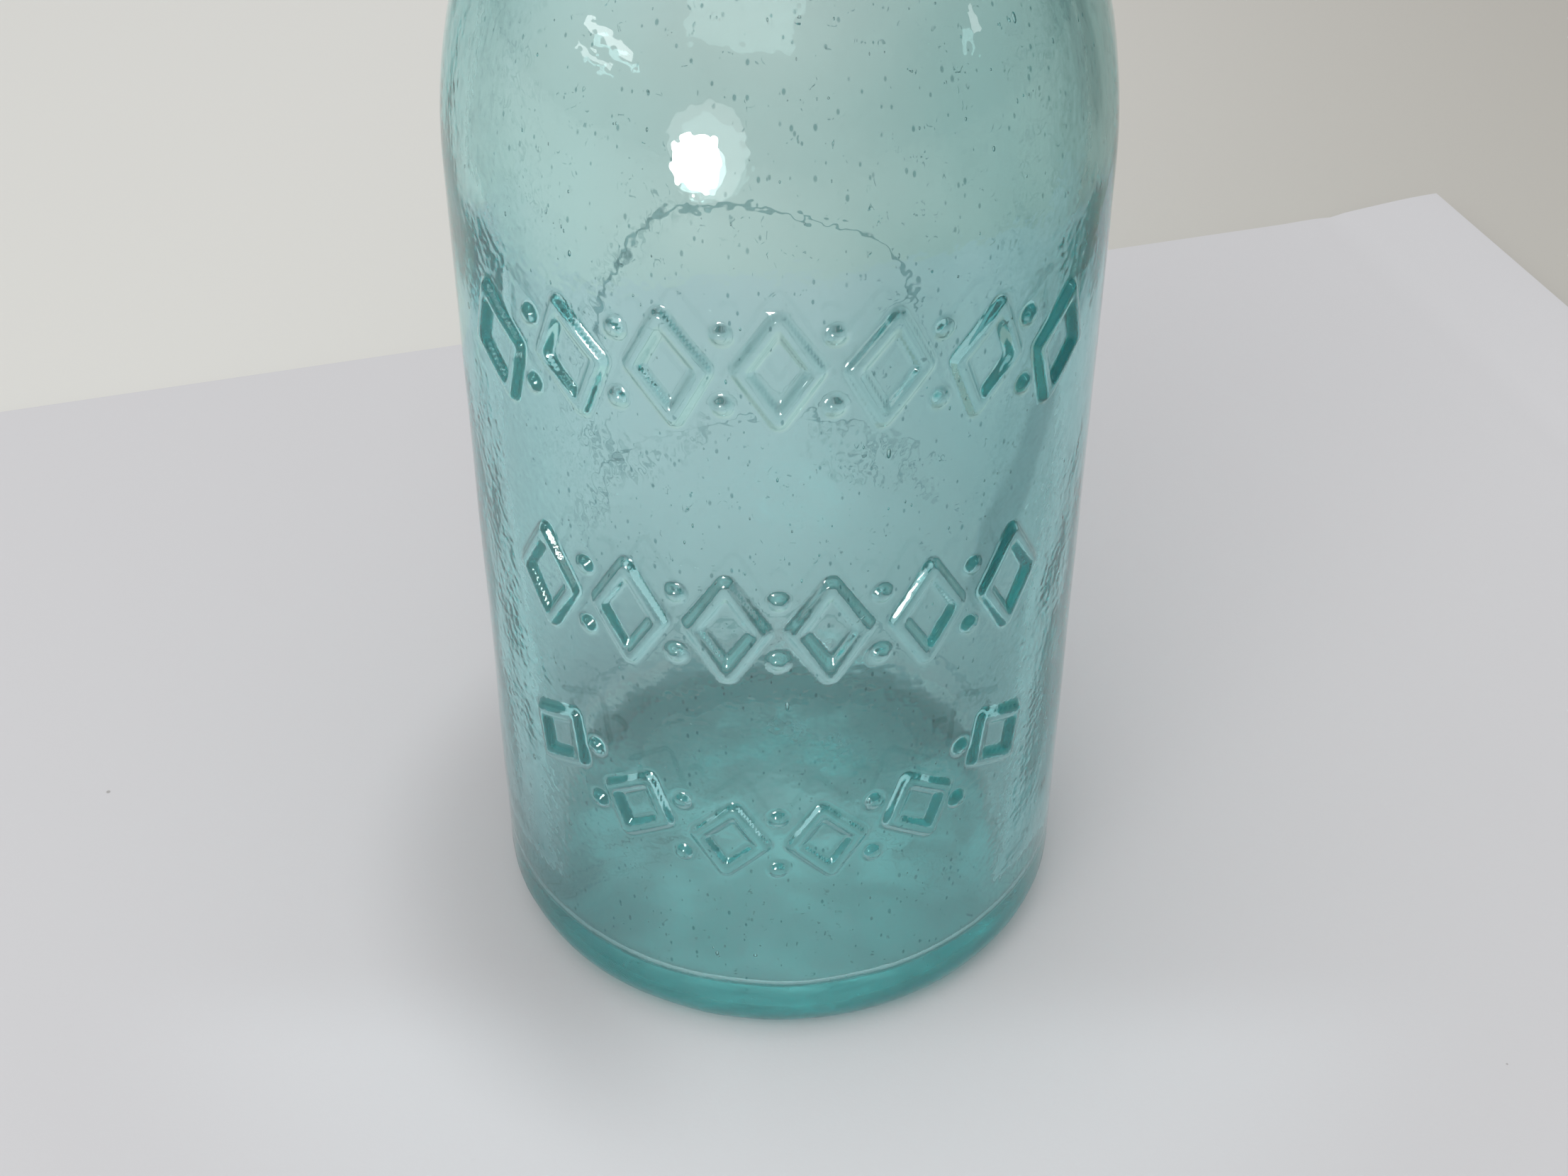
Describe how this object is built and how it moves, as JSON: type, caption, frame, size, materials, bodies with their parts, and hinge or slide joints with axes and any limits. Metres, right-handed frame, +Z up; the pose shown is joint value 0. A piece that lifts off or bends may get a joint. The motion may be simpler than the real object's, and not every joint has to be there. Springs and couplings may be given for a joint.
{
  "type": "hutchinson bottle",
  "caption": "Cylindrical aqua glass soda bottle with a sloping shoulder and blob lip, closed by an internal stopper of looped spring wire, metal plates and a rubber gasket.",
  "frame": {"origin": "on the bottle's axis, in the plane of the ring that it rests on", "axes": "+Z up along the bottle's axis from base to mouth; the raised ornament faces -Y; the stopper's wire loop lies in the plane y = 0"},
  "size_m": [0.062, 0.0626, 0.1952],
  "materials": {
    "aqua_glass": "hand blown, with seeds, ripples and faint scratches",
    "tinned_iron": "dull tinned wire and sheet, browned with age",
    "aged_rubber": "matt, hardened with age"
  },
  "bodies": {
    "bottle": {"glass_body": "aqua_glass", "blob_lip": "aqua_glass"},
    "stopper": {"spring_wire": "tinned_iron", "upper_plate": "tinned_iron", "lower_plate": "tinned_iron", "rubber_gasket": "aged_rubber"}
  },
  "joints": [
    {"name": "stopper_slide", "type": "slide", "parent": "bottle", "child": "stopper", "axis": [0, 0, 1], "range_m": [-0.014, 0]}
  ]
}
